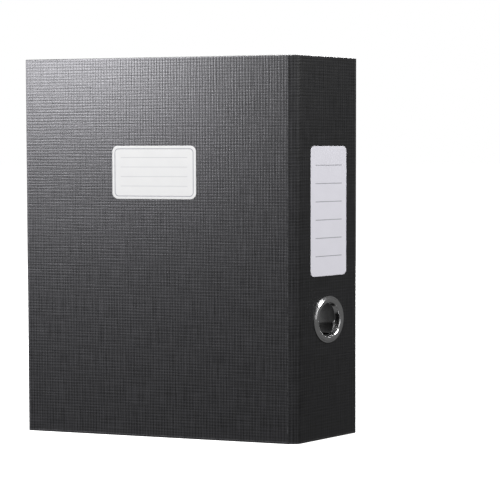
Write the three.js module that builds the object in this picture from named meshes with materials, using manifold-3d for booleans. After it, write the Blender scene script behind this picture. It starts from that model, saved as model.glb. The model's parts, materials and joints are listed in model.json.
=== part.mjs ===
import * as THREE from 'three';
import { mergeVertices } from 'three/addons/utils/BufferGeometryUtils.js';
import Module from 'manifold-3d';

// A ring binder with a lever arch mechanism, standing on its foot, in millimetres, +Z up.
// The origin is at the middle of the spine's foot. +X points out of the spine's outer face,
// -Y is the front cover's side and +Y the back cover's side.

const wasm = await Module();
wasm.setup();

// ---------- driving dimensions ----------
const HEIGHT = 318;
const SPINE_WIDTH = 75.5;
const FRONT_WIDTH = 234;
const STRIP_PITCH = 7;
const PANEL = 2.6;
const FRONT_GAP = 1.8;
const BACK_GAP = 2.8;
const STRIP_BEND = 42;
const COVER_BEND = 25;
const BACK_BEND = 90;

// Covering paper, glue lines and lining.
const PAPER = 0.3;
const GLUE = 0.05;
const TURN_IN = 15;
const LINING = 0.25;
const LINING_INSET = 4;
const CREASE_INSET = 0.5;

// The finger ring and the spine's label share one centre line. The ring is an eyelet.
const SPINE_MIDDLE = -1;
const RING_Z = 100;
const RING_OUTER = 19.5;
const RING_BORE = 13.75;
const RING_METAL = 0.7;
const RING_HOLE = 14.8;
const RING_RISE = 2;
const WASHER_OUTER = 18.5;
const RING_SIDES = 48;

// Paper labels.
const SPINE_LABEL = { width: 47, height: 107.6, middle: 190.3, corner: 4.5 };
const FRONT_LABEL = { width: 74.8, height: 44.4, middle: 222.4, corner: 5, fromCrease: 79.7 };
const LABEL_THICKNESS = 0.2;

// Lever arch mechanism: u runs from the back crease towards the cover's fore edge, and
// h is the height above the back cover's lining.
const MECHANISM_Z = HEIGHT / 2;
const POST_SPACING = 80;
const POST_U = 42;
const POST_TOP = 39;
const POST_RADIUS = 3.2;
const POST_BORE = 2.3;
const WIRE = 1.9;
const ARCH_U = 22;
const ARCH_RADIUS = (POST_U - ARCH_U) / 2;
const AXLE_H = 5;
const CRANK_U = 33;
const CRANK_Z = [-18, -4];
const PLATE = { u0: 12, u1: 56, length: 150, thickness: 1, corner: 4 };
const RIVET_U = [18, 50];
const RIVET_Z = [-67, 67];
const RIVET_SHANK = 2;
const LEVER_Z = -27;
const LEVER_H = 10;
const LEVER_U = 33;
const ROLLER_Z = (CRANK_Z[0] + CRANK_Z[1]) / 2;
const ROLLER_RADIUS = 3;
const PIN_PLAY = 0.1;
const SEAT = 0.05;

// ---------- materials ----------
const LOOKS = {
  coverPaper: { color: 0x2b2b2e, roughness: 0.6, metalness: 0 },
  greyboard: { color: 0x8d8478, roughness: 0.95, metalness: 0 },
  liningPaper: { color: 0x37373a, roughness: 0.8, metalness: 0 },
  labelPaper: { color: 0xe9e9ec, roughness: 0.55, metalness: 0 },
  darkNickel: { color: 0x5d5f63, roughness: 0.2, metalness: 1 },
  nickel: { color: 0xc2c4c6, roughness: 0.28, metalness: 1 },
  springSteel: { color: 0x8b8e92, roughness: 0.35, metalness: 1 },
  rollerPlastic: { color: 0x1c1c1e, roughness: 0.45, metalness: 0 },
};

// ---------- shape helpers ----------
function toSolid(geometry) {
  const bare = geometry.clone();
  bare.deleteAttribute('normal');
  bare.deleteAttribute('uv');
  const merged = mergeVertices(bare, 1e-4);
  return new wasm.Manifold(new wasm.Mesh({
    numProp: 3,
    vertProperties: new Float32Array(merged.attributes.position.array),
    triVerts: new Uint32Array(merged.index.array),
  }));
}

function toGeometry(solid) {
  const mesh = solid.getMesh();
  const geometry = new THREE.BufferGeometry();
  geometry.setAttribute('position', new THREE.BufferAttribute(mesh.vertProperties, 3));
  geometry.setIndex(new THREE.BufferAttribute(mesh.triVerts, 1));
  geometry.computeVertexNormals();
  return geometry;
}

function block(low, high) {
  const size = high.map((value, i) => value - low[i]);
  const geometry = new THREE.BoxGeometry(...size);
  geometry.translate((low[0] + high[0]) / 2, (low[1] + high[1]) / 2, (low[2] + high[2]) / 2);
  return geometry;
}

// A disc or bar of round section between two points on one of the axes.
function rod(axis, at, from, to, radius, sides = 20) {
  const geometry = new THREE.CylinderGeometry(radius, radius, to - from, sides);
  geometry.translate(0, (from + to) / 2, 0);
  if (axis === 'x') geometry.rotateZ(-Math.PI / 2);
  if (axis === 'z') geometry.rotateX(Math.PI / 2);
  geometry.translate(...at);
  return geometry;
}

// Extrudes an outline drawn in the panel's plane, across (y) and up (z), from x0 to x1.
function slab(outline, x0, x1, curveSegments = 5) {
  const geometry = new THREE.ExtrudeGeometry(outline, {
    depth: x1 - x0,
    bevelEnabled: false,
    curveSegments,
  });
  const yzx = new THREE.Matrix4().makeBasis(
    new THREE.Vector3(0, 1, 0),
    new THREE.Vector3(0, 0, 1),
    new THREE.Vector3(1, 0, 0),
  );
  geometry.applyMatrix4(yzx);
  geometry.translate(x0, 0, 0);
  return geometry;
}

// Extrudes an outline drawn up the mechanism (z) and away from the plate (h), from u0 to u1.
function web(outline, u0, u1, curveSegments = 10) {
  const geometry = new THREE.ExtrudeGeometry(outline, {
    depth: u1 - u0,
    bevelEnabled: false,
    curveSegments,
  });
  const zhu = new THREE.Matrix4().makeBasis(
    new THREE.Vector3(0, 0, 1),
    new THREE.Vector3(-1, 0, 0),
    new THREE.Vector3(0, -1, 0),
  );
  geometry.applyMatrix4(zhu);
  geometry.translate(plateX(0), u1, MECHANISM_Z);
  return geometry;
}

function roundedRectangle(width, height, corner) {
  const right = width / 2;
  const top = height / 2;
  const shape = new THREE.Shape();
  shape.moveTo(-right + corner, -top);
  shape.lineTo(right - corner, -top);
  shape.absarc(right - corner, -top + corner, corner, -Math.PI / 2, 0, false);
  shape.lineTo(right, top - corner);
  shape.absarc(right - corner, top - corner, corner, 0, Math.PI / 2, false);
  shape.lineTo(-right + corner, top);
  shape.absarc(-right + corner, top - corner, corner, Math.PI / 2, Math.PI, false);
  shape.lineTo(-right, -top + corner);
  shape.absarc(-right + corner, -top + corner, corner, Math.PI, Math.PI * 1.5, false);
  return shape;
}

function lathe(profile, segments) {
  const points = profile.map(([radius, along]) => new THREE.Vector2(radius, along));
  return new THREE.LatheGeometry(points, segments);
}

function cut(solid, ...tools) {
  return tools.reduce((left, tool) => left.subtract(toSolid(tool)), solid);
}

function join(...geometries) {
  return geometries.map(toSolid).reduce((whole, next) => whole.add(next));
}

function place(parent, name, geometry, look) {
  const mesh = new THREE.Mesh(geometry, new THREE.MeshStandardMaterial(LOOKS[look]));
  mesh.name = name;
  parent.add(mesh);
  return mesh;
}

// The x of a height above the back cover's lining, in the back cover's own group.
function plateX(h) {
  return -PANEL / 2 - GLUE - LINING - SEAT - h;
}

// ---------- covers and spine ----------
// A panel lies in the plane x = 0 with its outer face on +X. free tells which of its low and
// high sides are free edges, where the covering paper turns in over the board.
function panel(parent, name, y0, y1, free, holes) {
  const half = PANEL / 2;
  const lip = free.map((isFree) => (isFree ? TURN_IN : PAPER));
  const drill = holes.map((hole) => rod('x', [0, hole.y, hole.z], -9, 9, hole.radius, hole.sides));
  const shell = toSolid(block([-half, y0, 0], [half, y1, HEIGHT]));
  const pocket = block([-half + PAPER, y0 + PAPER, PAPER], [half - PAPER, y1 - PAPER, HEIGHT - PAPER]);
  const mouth = block([-half - 1, y0 + lip[0], TURN_IN], [0, y1 - lip[1], HEIGHT - TURN_IN]);
  place(parent, `${name}_wrap`, toGeometry(cut(shell, pocket, mouth, ...drill)), 'coverPaper');

  const skin = PAPER + GLUE;
  const core = block([-half + skin, y0 + skin, skin], [half - skin, y1 - skin, HEIGHT - skin]);
  place(parent, `${name}_board`, toGeometry(cut(toSolid(core), ...drill)), 'greyboard');

  const inset = free.map((isFree) => (isFree ? LINING_INSET : CREASE_INSET));
  const face = -half - GLUE;
  const sheet = block(
    [face - LINING, y0 + inset[0], LINING_INSET],
    [face, y1 - inset[1], HEIGHT - LINING_INSET],
  );
  place(parent, `${name}_lining`, toGeometry(cut(toSolid(sheet), ...drill)), 'liningPaper');
}

function label(parent, name, size, y) {
  const sheet = slab(
    roundedRectangle(size.width, size.height, size.corner),
    PANEL / 2 + SEAT,
    PANEL / 2 + SEAT + LABEL_THICKNESS,
  );
  sheet.translate(0, y, size.middle);
  place(parent, name, sheet, 'labelPaper');
}

// The eyelet's section runs over the rolled flange, down the bore and out over the washer.
function fingerRing(parent) {
  const outer = PANEL / 2 + SEAT;
  const inner = -PANEL / 2 - GLUE - LINING;
  const tube = RING_BORE + RING_METAL;
  const crown = outer + RING_RISE;
  const lipFace = outer + 0.8;
  const curl = inner - SEAT - RING_METAL - SEAT;
  const roll = 2.2;
  const arc = (centre, radius, from, to, steps) => Array.from({ length: steps + 1 }, (_, i) => {
    const angle = from + (to - from) * i / steps;
    return [centre[0] + radius * Math.cos(angle), centre[1] + radius * Math.sin(angle)];
  });
  const profile = [
    [RING_OUTER, outer],
    [RING_OUTER, lipFace],
    [RING_OUTER - 1.3, lipFace],
    ...arc([RING_OUTER - 2.4, crown - 1], 1, 0, Math.PI / 2, 4),
    ...arc([RING_BORE + roll, crown - roll], roll, Math.PI / 2, Math.PI, 6),
    [RING_BORE, curl],
    ...arc([RING_BORE + RING_METAL, curl], RING_METAL, Math.PI, Math.PI * 1.5, 3),
    [WASHER_OUTER - 1.5, curl - RING_METAL],
    [WASHER_OUTER - 1.5, curl],
    [tube, curl],
    [tube, outer],
  ];
  profile.push(profile[0]);
  const eyelet = lathe(profile, RING_SIDES);
  eyelet.rotateZ(-Math.PI / 2);
  eyelet.translate(0, SPINE_MIDDLE, RING_Z);
  place(parent, 'finger_ring', toGeometry(toSolid(eyelet)), 'darkNickel');

  const back = inner - SEAT;
  const washer = lathe([
    [RING_HOLE, back],
    [RING_HOLE, back - RING_METAL],
    [WASHER_OUTER, back - RING_METAL],
    [WASHER_OUTER, back],
    [RING_HOLE, back],
  ], RING_SIDES);
  washer.rotateZ(-Math.PI / 2);
  washer.translate(0, SPINE_MIDDLE, RING_Z);
  place(parent, 'ring_washer', toGeometry(toSolid(washer)), 'darkNickel');
}

// ---------- lever arch mechanism ----------
function basePlate(parent) {
  const width = PLATE.u1 - PLATE.u0;
  const sheet = slab(
    roundedRectangle(width, PLATE.length, PLATE.corner),
    plateX(PLATE.thickness),
    plateX(0),
  );
  sheet.translate(0, (PLATE.u0 + PLATE.u1) / 2, MECHANISM_Z);
  let plate = toSolid(sheet);
  const saddleRadius = 3.4;
  const saddleLength = 5;
  for (const offset of [-32.5, 4, 32.5]) {
    const low = MECHANISM_Z + offset - saddleLength / 2;
    const high = low + saddleLength;
    const cap = rod('z', [plateX(AXLE_H), ARCH_U, 0], low, high, saddleRadius);
    const foot = block(
      [plateX(AXLE_H), ARCH_U - saddleRadius, low],
      [plateX(PLATE.thickness / 2), ARCH_U + saddleRadius, high],
    );
    plate = plate.add(join(cap, foot));
  }
  const earRadius = 5;
  for (const u of [LEVER_U - 5, LEVER_U + 4]) {
    const ear = new THREE.Shape();
    ear.moveTo(LEVER_Z - earRadius, PLATE.thickness / 2);
    ear.lineTo(LEVER_Z + earRadius, PLATE.thickness / 2);
    ear.absarc(LEVER_Z, LEVER_H, earRadius, 0, Math.PI, false);
    plate = plate.add(toSolid(web(ear, u, u + 1)));
  }
  const bores = [
    rod('z', [plateX(AXLE_H), ARCH_U, MECHANISM_Z], -60, 60, WIRE + 2 * PIN_PLAY),
    rod('y', [plateX(LEVER_H), 0, MECHANISM_Z + LEVER_Z], LEVER_U - 9, LEVER_U + 9, 1.5 + PIN_PLAY),
  ];
  for (const u of RIVET_U) {
    for (const z of RIVET_Z) {
      bores.push(rod('x', [0, u, MECHANISM_Z + z], -9, 9, RIVET_SHANK + 0.3, 16));
    }
  }
  place(parent, 'base_plate', toGeometry(cut(plate, ...bores)), 'nickel');
}

function post(parent, name, z) {
  const foot = PLATE.thickness + SEAT;
  const footRadius = 6;
  const tube = lathe([
    [0, foot],
    [footRadius, foot],
    [footRadius, foot + 0.8],
    [footRadius - 0.8, foot + 1.2],
    [POST_RADIUS + 0.6, foot + 1.2],
    [POST_RADIUS, foot + 2],
    [POST_RADIUS, POST_TOP - 0.4],
    [POST_RADIUS - 0.4, POST_TOP],
    [POST_BORE, POST_TOP],
    [POST_BORE, POST_TOP - 8],
    [0, POST_TOP - 8],
  ], 20);
  tube.rotateZ(Math.PI / 2);
  tube.translate(plateX(0), POST_U, z);
  place(parent, name, toGeometry(toSolid(tube)), 'nickel');
}

// A quarter bend of a wire at a square corner.
class QuarterBend extends THREE.Curve {
  constructor(corner, incoming, outgoing, radius) {
    super();
    this.incoming = incoming;
    this.outgoing = outgoing;
    this.radius = radius;
    this.centre = corner.clone()
      .addScaledVector(incoming, -radius)
      .addScaledVector(outgoing, radius);
  }

  getPoint(t, target = new THREE.Vector3()) {
    const angle = t * Math.PI / 2;
    return target.copy(this.centre)
      .addScaledVector(this.outgoing, -this.radius * Math.cos(angle))
      .addScaledVector(this.incoming, this.radius * Math.sin(angle));
  }
}

// The centre line through a list of square corners, each [u, h, z, bend radius].
function wireLine(corners) {
  const points = corners.map(([u, h, z]) => new THREE.Vector3(plateX(h), u, MECHANISM_Z + z));
  const line = new THREE.CurvePath();
  line.arcLengthDivisions = 1200;
  let from = points[0];
  for (let i = 1; i < points.length; i += 1) {
    const incoming = points[i].clone().sub(points[i - 1]).normalize();
    const radius = corners[i][3] ?? 0;
    const to = points[i].clone().addScaledVector(incoming, -radius);
    if (from.distanceTo(to) > 1e-6) line.add(new THREE.LineCurve3(from, to));
    if (radius > 0) {
      const outgoing = points[i + 1].clone().sub(points[i]).normalize();
      line.add(new QuarterBend(points[i], incoming, outgoing, radius));
      from = points[i].clone().addScaledVector(outgoing, radius);
    }
  }
  return line;
}

function alongWire(line, radius, sides, steps) {
  const section = new THREE.Shape();
  section.absarc(0, 0, radius, 0, Math.PI * 2, false);
  return new THREE.ExtrudeGeometry(section, {
    steps,
    curveSegments: sides / 2,
    extrudePath: line,
  });
}

// One bent wire: two arches, the axle that joins their legs, and the axle's crank.
function archWire(parent) {
  const z = POST_SPACING / 2;
  const tip = POST_TOP + 0.3;
  const crown = POST_TOP + 5 + ARCH_RADIUS;
  const legBend = 4;
  const crankBend = 3;
  const line = wireLine([
    [POST_U, tip, -z],
    [POST_U, crown, -z, ARCH_RADIUS],
    [ARCH_U, crown, -z, ARCH_RADIUS],
    [ARCH_U, AXLE_H, -z, legBend],
    [ARCH_U, AXLE_H, CRANK_Z[0], crankBend],
    [CRANK_U, AXLE_H, CRANK_Z[0], crankBend],
    [CRANK_U, AXLE_H, CRANK_Z[1], crankBend],
    [ARCH_U, AXLE_H, CRANK_Z[1], crankBend],
    [ARCH_U, AXLE_H, z, legBend],
    [ARCH_U, crown, z, ARCH_RADIUS],
    [POST_U, crown, z, ARCH_RADIUS],
    [POST_U, tip, z],
  ]);
  let wire = toSolid(alongWire(line, WIRE, 8, 165));
  for (const side of [-z, z]) {
    const nose = lathe([[0, 0], [0.5, 0], [WIRE - 0.05, 1.2], [WIRE - 0.05, 1.7], [0, 1.7]], 12);
    nose.rotateZ(Math.PI / 2);
    nose.translate(plateX(tip - 1.2), POST_U, MECHANISM_Z + side);
    wire = wire.add(toSolid(nose));
  }
  place(parent, 'arch_wire', toGeometry(wire), 'nickel');
}

// A torsion spring wound round the axle, with a short leg at each end.
function archSpring(parent) {
  const coil = 2.95;
  const wire = 0.5;
  const turns = 7.25;
  const low = 10;
  const pitch = 1.45;
  const leg = 6;
  const points = [];
  const perTurn = 10;
  const start = [plateX(AXLE_H) + coil, ARCH_U + leg, MECHANISM_Z + low];
  points.push(new THREE.Vector3(...start));
  for (let i = 0; i <= turns * perTurn; i += 1) {
    const angle = 2 * Math.PI * i / perTurn;
    points.push(new THREE.Vector3(
      plateX(AXLE_H) + coil * Math.cos(angle),
      ARCH_U - coil * Math.sin(angle),
      MECHANISM_Z + low + pitch * i / perTurn,
    ));
  }
  const end = points[points.length - 1];
  points.push(new THREE.Vector3(end.x - leg, end.y, end.z));
  const line = new THREE.CatmullRomCurve3(points, false, 'centripetal');
  line.arcLengthDivisions = 1200;
  place(parent, 'arch_spring', toGeometry(toSolid(alongWire(line, wire, 6, 84))), 'springSteel');
}

function lever(parent) {
  const half = 3.4;
  const sheet = 1;
  const top = 14.5;
  const hook = 7;
  const bend = 25;
  const handle = new THREE.Shape();
  handle.moveTo(LEVER_Z - 2, top - sheet);
  handle.lineTo(bend, top - sheet);
  handle.absarc(bend, top - sheet + hook + 0.5, hook + 0.5, -Math.PI / 2, 0, false);
  handle.lineTo(bend + hook + 0.5, 26);
  handle.lineTo(bend + hook - 0.5, 26);
  handle.lineTo(bend + hook - 0.5, top - sheet + hook + 0.5);
  handle.absarc(bend, top - sheet + hook + 0.5, hook - 0.5, 0, -Math.PI / 2, true);
  handle.lineTo(LEVER_Z - 2, top);
  const flange = new THREE.Shape();
  flange.moveTo(LEVER_Z + 3.6, 7.6);
  flange.lineTo(bend, 11);
  flange.lineTo(bend, top);
  flange.lineTo(LEVER_Z - 2, top);
  flange.absarc(LEVER_Z, LEVER_H, 4.6, Math.PI * 0.62, Math.PI * 1.75, false);
  let body = toSolid(web(handle, LEVER_U - half, LEVER_U + half));
  body = body.add(toSolid(web(flange, LEVER_U - half, LEVER_U - half + sheet)));
  body = body.add(toSolid(web(flange, LEVER_U + half - sheet, LEVER_U + half)));
  const grip = new THREE.Shape();
  grip.moveTo(bend + hook - 0.5, 19);
  grip.lineTo(bend + hook + 0.5, 19);
  grip.lineTo(bend + hook + 0.5, 28);
  grip.absarc(bend + hook, 28, 0.5, 0, Math.PI, false);
  body = body.add(toSolid(web(grip, LEVER_U - 5.5, LEVER_U + 5.5)));
  const pins = [
    rod('y', [plateX(LEVER_H), 0, MECHANISM_Z + LEVER_Z], LEVER_U - 9, LEVER_U + 9, 1.5 + PIN_PLAY),
    rod('y', [plateX(rollerHeight()), 0, MECHANISM_Z + ROLLER_Z], LEVER_U - 9, LEVER_U + 9, 1.3),
  ];
  place(parent, 'lever', toGeometry(cut(body, ...pins)), 'nickel');
}

function rollerHeight() {
  return AXLE_H + WIRE + 0.3 + ROLLER_RADIUS;
}

// A pin along u with a flat head at each end.
function headedPin(parent, name, z, h, radius, headRadius, reach) {
  const head = 0.7;
  const pin = lathe([
    [0, -reach - head],
    [headRadius, -reach - head],
    [headRadius, -reach],
    [radius, -reach],
    [radius, reach],
    [headRadius, reach],
    [headRadius, reach + head],
    [0, reach + head],
  ], 16);
  pin.translate(plateX(h), LEVER_U, MECHANISM_Z + z);
  place(parent, name, toGeometry(toSolid(pin)), 'springSteel');
}

function roller(parent) {
  const bore = 1.2 + PIN_PLAY;
  const half = 2.1;
  const wheel = lathe([
    [bore, -half],
    [ROLLER_RADIUS - 0.4, -half],
    [ROLLER_RADIUS, -half + 0.4],
    [ROLLER_RADIUS, half - 0.4],
    [ROLLER_RADIUS - 0.4, half],
    [bore, half],
    [bore, -half],
  ], 24);
  wheel.translate(plateX(rollerHeight()), LEVER_U, MECHANISM_Z + ROLLER_Z);
  place(parent, 'lever_roller', toGeometry(toSolid(wheel)), 'rollerPlastic');
}

// The bar that slides on the posts and holds the sheets down, with a spring catch at each post.
function compressor(parent) {
  const z = POST_SPACING / 2;
  const low = 5;
  const sheet = 1.2;
  const seat = 6.5;
  const bar = { u0: 40, u1: 47.5 };
  const hole = POST_RADIUS + 0.3;
  const middle = block(
    [plateX(low + sheet), bar.u0, MECHANISM_Z - z],
    [plateX(low), bar.u1, MECHANISM_Z + z],
  );
  const rib = block(
    [plateX(low + 3), bar.u1 - 1.2, MECHANISM_Z - z + 8],
    [plateX(low + sheet / 2), bar.u1, MECHANISM_Z + z - 8],
  );
  let body = join(middle, rib);
  for (const side of [-z, z]) {
    const at = [0, POST_U, MECHANISM_Z + side];
    const end = rod('x', at, plateX(low + sheet), plateX(low), seat);
    body = body.add(toSolid(end));
  }
  for (const side of [-z, z]) {
    const at = [0, POST_U, MECHANISM_Z + side];
    body = body.subtract(toSolid(rod('x', at, -60, 0, hole)));
  }
  place(parent, 'compressor_bar', toGeometry(body), 'nickel');

  for (const [name, side] of [['catch_lower', -z], ['catch_upper', z]]) {
    const at = [0, POST_U, MECHANISM_Z + side];
    const tab = slab(
      roundedRectangle(12, 9, 2),
      plateX(low + sheet + SEAT + 0.7),
      plateX(low + sheet + SEAT),
    );
    tab.translate(0, POST_U + 1, MECHANISM_Z + side);
    const clip = toSolid(tab).subtract(toSolid(rod('x', at, -60, 0, hole)));
    place(parent, name, toGeometry(clip), 'springSteel');
  }
}

function rivet(parent, name, u, z) {
  const outer = PANEL / 2 + SEAT;
  const inner = plateX(PLATE.thickness) - SEAT;
  const pin = lathe([
    [0, inner - 0.9],
    [2.4, inner - 0.9],
    [3.4, inner - 0.4],
    [3.4, inner],
    [RIVET_SHANK, inner],
    [RIVET_SHANK, outer],
    [4.5, outer],
    [4.3, outer + 0.4],
    [3.2, outer + 0.85],
    [0, outer + 1.05],
  ], 16);
  pin.rotateZ(-Math.PI / 2);
  pin.translate(0, u, MECHANISM_Z + z);
  place(parent, name, toGeometry(toSolid(pin)), 'nickel');
}

// ---------- assembly ----------
const degrees = THREE.MathUtils.degToRad;
const binder = new THREE.Group();

const spineFront = -SPINE_WIDTH / 2;
const backAxis = SPINE_WIDTH / 2 - PANEL / 2;
const spineBack = backAxis - BACK_GAP / 2;
const ringHole = { y: SPINE_MIDDLE, z: RING_Z, radius: RING_HOLE, sides: RING_SIDES };
panel(binder, 'spine', spineFront, spineBack, [false, false], [ringHole]);
label(binder, 'spine_label', SPINE_LABEL, SPINE_MIDDLE);
fingerRing(binder);

// The front cover's inner groups are drawn unfolded, then bent at the two creases.
const strip = new THREE.Group();
strip.position.set(0, spineFront - FRONT_GAP / 2, 0);
strip.rotation.z = -degrees(STRIP_BEND);
binder.add(strip);
panel(strip, 'strip', -STRIP_PITCH + FRONT_GAP / 2, -FRONT_GAP / 2, [false, false], []);

const front = new THREE.Group();
front.position.set(0, -STRIP_PITCH, 0);
front.rotation.z = -degrees(COVER_BEND);
strip.add(front);
const frontEdge = -FRONT_GAP / 2;
panel(front, 'front', frontEdge - FRONT_WIDTH, frontEdge, [true, false], []);
label(front, 'front_label', FRONT_LABEL, frontEdge - FRONT_LABEL.fromCrease - FRONT_LABEL.width / 2);

const back = new THREE.Group();
back.position.set(0, backAxis, 0);
back.rotation.z = degrees(BACK_BEND);
binder.add(back);
const backWidth = FRONT_WIDTH + STRIP_PITCH - BACK_GAP / 2;
const rivetHoles = RIVET_U.flatMap((u) => RIVET_Z.map((z) => (
  { y: u, z: MECHANISM_Z + z, radius: RIVET_SHANK + 0.3, sides: 16 }
)));
panel(back, 'back', BACK_GAP / 2, BACK_GAP / 2 + backWidth, [false, true], rivetHoles);

basePlate(back);
post(back, 'post_lower', MECHANISM_Z - POST_SPACING / 2);
post(back, 'post_upper', MECHANISM_Z + POST_SPACING / 2);
archWire(back);
archSpring(back);
lever(back);
headedPin(back, 'lever_pin', LEVER_Z, LEVER_H, 1.5, 2.4, 5.1);
headedPin(back, 'roller_pin', ROLLER_Z, rollerHeight(), 1.2, 1.9, 3.5);
roller(back);
compressor(back);
RIVET_U.forEach((u, i) => {
  RIVET_Z.forEach((z, j) => {
    rivet(back, `rivet_${2 * i + j + 1}`, u, z);
  });
});

export default binder;
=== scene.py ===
import json
import math

import bpy
from mathutils import Matrix, Vector

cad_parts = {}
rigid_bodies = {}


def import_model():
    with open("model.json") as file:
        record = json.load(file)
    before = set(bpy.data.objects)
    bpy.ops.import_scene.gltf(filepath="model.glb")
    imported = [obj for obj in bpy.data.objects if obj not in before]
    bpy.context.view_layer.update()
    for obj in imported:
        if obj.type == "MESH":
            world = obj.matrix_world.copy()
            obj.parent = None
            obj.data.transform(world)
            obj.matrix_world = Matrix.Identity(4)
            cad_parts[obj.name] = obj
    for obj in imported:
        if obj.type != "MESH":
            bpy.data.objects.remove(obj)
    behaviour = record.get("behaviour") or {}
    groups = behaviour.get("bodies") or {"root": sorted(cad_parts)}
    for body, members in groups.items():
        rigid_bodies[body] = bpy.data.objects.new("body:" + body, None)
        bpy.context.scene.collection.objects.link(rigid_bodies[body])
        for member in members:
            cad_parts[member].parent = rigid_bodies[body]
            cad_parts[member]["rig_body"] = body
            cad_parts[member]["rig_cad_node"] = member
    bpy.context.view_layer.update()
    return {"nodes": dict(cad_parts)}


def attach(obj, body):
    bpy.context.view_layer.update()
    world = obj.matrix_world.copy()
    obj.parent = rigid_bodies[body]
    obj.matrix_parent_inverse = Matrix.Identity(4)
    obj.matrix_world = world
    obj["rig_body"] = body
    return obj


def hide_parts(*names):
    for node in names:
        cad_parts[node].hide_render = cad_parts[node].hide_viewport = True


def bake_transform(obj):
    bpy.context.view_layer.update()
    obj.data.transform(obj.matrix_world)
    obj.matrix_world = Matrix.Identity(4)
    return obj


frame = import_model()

MM = 0.001

# ---------- sizes of the binder, in millimetres ----------
# The covering paper is cut and creased flat, in the plane of the spine, and folded afterwards.
HEIGHT = 318.0
OUTER_FACE = 1.3
FRONT_EDGE = -280.55
COVER_CREASE = -45.65
STRIP_CREASE = -38.65
BACK_CREASE = 36.45
BACK_EDGE = 277.45
STRIP_MIDDLE = -42.15
SPINE_SEAM = 34.0
PAPER = 0.3
TURN_IN = 15.0
COVER_BEND = 25.0
STRIP_BEND = 42.0
BACK_BEND = 90.0

# Depth of the pressed groove either side of a crease: (distance from the crease, height).
FRONT_GROOVE = [(1.5, 1.3), (1.15, 1.24), (0.8, 1.02), (0.4, 0.78), (0.0, 0.7)]
BACK_GROOVE = [(1.75, 1.3), (1.4, 1.26), (1.0, 1.08), (0.5, 0.86), (0.0, 0.8)]
FRONT_FOLD = 1.2

# The hinge strip's board is thinner, so its paper rises only gently out of the groove.
STRIP_RISE = [(0.4, 0.71), (0.9, 0.78), (1.4, 0.88), (2.0, 0.95)]
STRIP_FACE = 0.95
STRIP_BOARD = {"half_width": 2.1, "half_thickness": 0.5, "inset": 1.5}
BACK_FOLD = 1.6

# The wrapped rim: (share of the outer face's height, distance out from where it starts).
RIM_ROUND = [(0.94, 0.42), (0.76, 0.72), (0.4, 0.85), (-0.4, 0.85), (-0.76, 0.72),
             (-0.94, 0.42), (-1.0, 0.0)]
RIM = 0.85
INNER_GROOVE = 0.6

# Lining: inset from the edges, and its own groove at a crease.
LINING_FACE = -1.6
LINING = 0.25
LINING_INSET = 4.0
LINING_FRONT_GROOVE = [(1.5, 1.6), (1.1, 1.42), (0.7, 0.95), (0.35, 0.78), (0.0, 0.74)]
LINING_BACK_GROOVE = [(1.9, 1.6), (1.5, 1.3), (1.0, 0.97), (0.5, 0.92), (0.0, 0.9)]

# Finger ring, on the spine's centre line.
RING_Y = -1.0
RING_Z = 100.0
RING_HOLE = 14.8

# Labels: middle, size and corner radius.
SPINE_LABEL = {"y": -1.0, "z": 190.3, "width": 47.0, "height": 107.6, "corner": 4.5}
FRONT_LABEL = {"y": -163.65, "z": 222.4, "width": 74.8, "height": 44.4, "corner": 5.0}
LABEL_FACE = 1.55

# Lever arch mechanism: u runs from the back crease to the fore edge, h stands off the lining.
LINING_Y = 34.8
MECHANISM_Z = 159.0
POST_U = 42.0
POST_TOP = 39.0
ARCH_U = 22.0
AXLE_H = 5.0
WIRE = 1.9
ARCH_BEND = 10.0
ARCH_CROWN = 54.0
CRANK_U = 33.0
CRANK_Z = (-18.0, -4.0)
HALF_SPACING = 40.0
LEVER_U = 33.0
LEVER_Z = -27.0
LEVER_H = 10.0
ROLLER_Z = -11.0
ROLLER_H = 10.2
RIVET_U = (18.0, 50.0)
RIVET_Z = (-67.0, 67.0)
SPRING_Z = 10.0
SPRING_COIL = 2.95
SPRING_WIRE = 0.5
SPRING_TURNS = 7.25
SPRING_PITCH = 1.45
SPRING_LEG = 6.0
NOSE = 1.2
EDGE_BREAK = 0.18

# Linen emboss: pitch of its threads, how far they wander, and how deep they press.
THREAD_PITCH = 2.5
THREAD_WANDER = 3.2
WEAVE_HEIGHT = 0.2
ROW_SHARE = 0.7
UPRIGHT_SLUBS = 0.85
LEVEL_SLUBS = 0.65
PAPER_TOOTH = 0.12
EMBOSS_DEPTH = 0.24

NEAR = 1e-5
ROOM_LIGHT = 0.14


# ---------- hand tools ----------
def bare_hands():
    if bpy.context.object and bpy.context.object.mode != "OBJECT":
        bpy.ops.object.mode_set(mode="OBJECT")
    bpy.ops.object.select_all(action="DESELECT")


def take(piece):
    bare_hands()
    piece.select_set(True)
    bpy.context.view_layer.objects.active = piece


def open_mesh(piece, part="VERT"):
    take(piece)
    bpy.ops.object.mode_set(mode="EDIT")
    bpy.ops.mesh.select_mode(type=part)


def close_mesh():
    bpy.ops.object.mode_set(mode="OBJECT")


def mark(piece, wanted, part="VERT"):
    """Selects the vertices, edges or faces for which wanted is true, and goes to edit mode."""
    open_mesh(piece, part)
    bpy.ops.mesh.select_all(action="DESELECT")
    close_mesh()
    mesh = piece.data
    if part == "VERT":
        for vertex in mesh.vertices:
            vertex.select = wanted(vertex)
    if part == "EDGE":
        for edge in mesh.edges:
            edge.select = all(wanted(mesh.vertices[i]) for i in edge.vertices)
    if part == "FACE":
        for face in mesh.polygons:
            face.select = wanted(face)
    bpy.ops.object.mode_set(mode="EDIT")


def move(x=0.0, y=0.0, z=0.0):
    bpy.ops.transform.translate(value=(x * MM, y * MM, z * MM))


def pull(x=0.0, y=0.0, z=0.0):
    offset = {"value": (x * MM, y * MM, z * MM)}
    bpy.ops.mesh.extrude_region_move(TRANSFORM_OT_translate=offset)


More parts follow.
